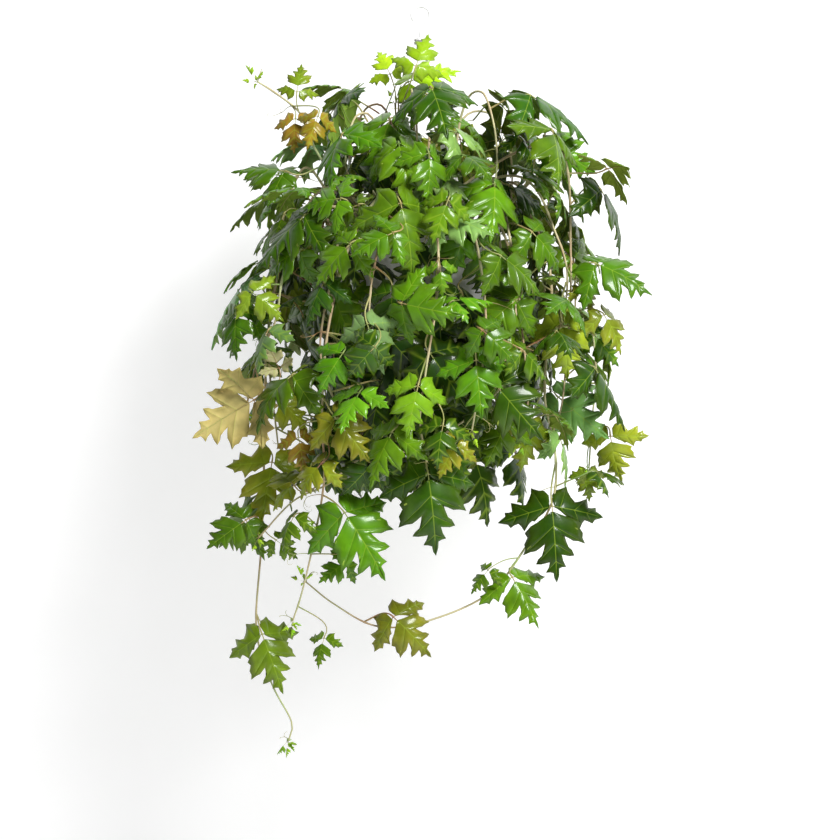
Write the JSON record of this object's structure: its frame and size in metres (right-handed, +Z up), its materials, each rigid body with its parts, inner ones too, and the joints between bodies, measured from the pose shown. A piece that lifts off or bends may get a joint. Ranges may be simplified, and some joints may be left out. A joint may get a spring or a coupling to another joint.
{
  "type": "grape ivy in hanging pot",
  "caption": "Bushy climbing vine with lobed three-part leaves and long trailing stems, growing in a white hanging pot with straps and a top hook.",
  "frame": {"origin": "the point inside the top of the hanger's hook where it bears on what holds it", "axes": "+Z up, +X to the right seen from the front, -Y towards the viewer of the front"},
  "size_m": [0.4407, 0.3698, 0.7273],
  "materials": {
    "pot_plastic": "white matte plastic with a faint grain",
    "hanger_plastic": "smooth white plastic",
    "potting_soil": "dark crumbly potting soil",
    "ivy_foliage": "glossy green leaves with paler veins, paler undersides and green to tan stems"
  },
  "bodies": {
    "root": {"hanger_hook": "hanger_plastic", "hanger_strap_1": "hanger_plastic", "hanger_strap_2": "hanger_plastic", "hanger_strap_3": "hanger_plastic", "leafy_stem_01": "ivy_foliage", "leafy_stem_02": "ivy_foliage", "leafy_stem_03": "ivy_foliage", "leafy_stem_04": "ivy_foliage", "leafy_stem_05": "ivy_foliage", "leafy_stem_06": "ivy_foliage", "leafy_stem_07": "ivy_foliage", "leafy_stem_08": "ivy_foliage", "leafy_stem_09": "ivy_foliage", "leafy_stem_10": "ivy_foliage", "leafy_stem_11": "ivy_foliage", "leafy_stem_12": "ivy_foliage", "leafy_stem_13": "ivy_foliage", "leafy_stem_14": "ivy_foliage", "leafy_stem_15": "ivy_foliage", "leafy_stem_16": "ivy_foliage", "leafy_stem_17": "ivy_foliage", "leafy_stem_18": "ivy_foliage", "leafy_stem_19": "ivy_foliage", "leafy_stem_20": "ivy_foliage", "leafy_stem_21": "ivy_foliage", "leafy_stem_22": "ivy_foliage", "leafy_stem_23": "ivy_foliage", "leafy_stem_24": "ivy_foliage", "leafy_stem_25": "ivy_foliage", "leafy_stem_26": "ivy_foliage", "leafy_stem_27": "ivy_foliage", "leafy_stem_28": "ivy_foliage", "leafy_stem_29": "ivy_foliage", "pot": "pot_plastic", "soil": "potting_soil"}
  },
  "joints": []
}
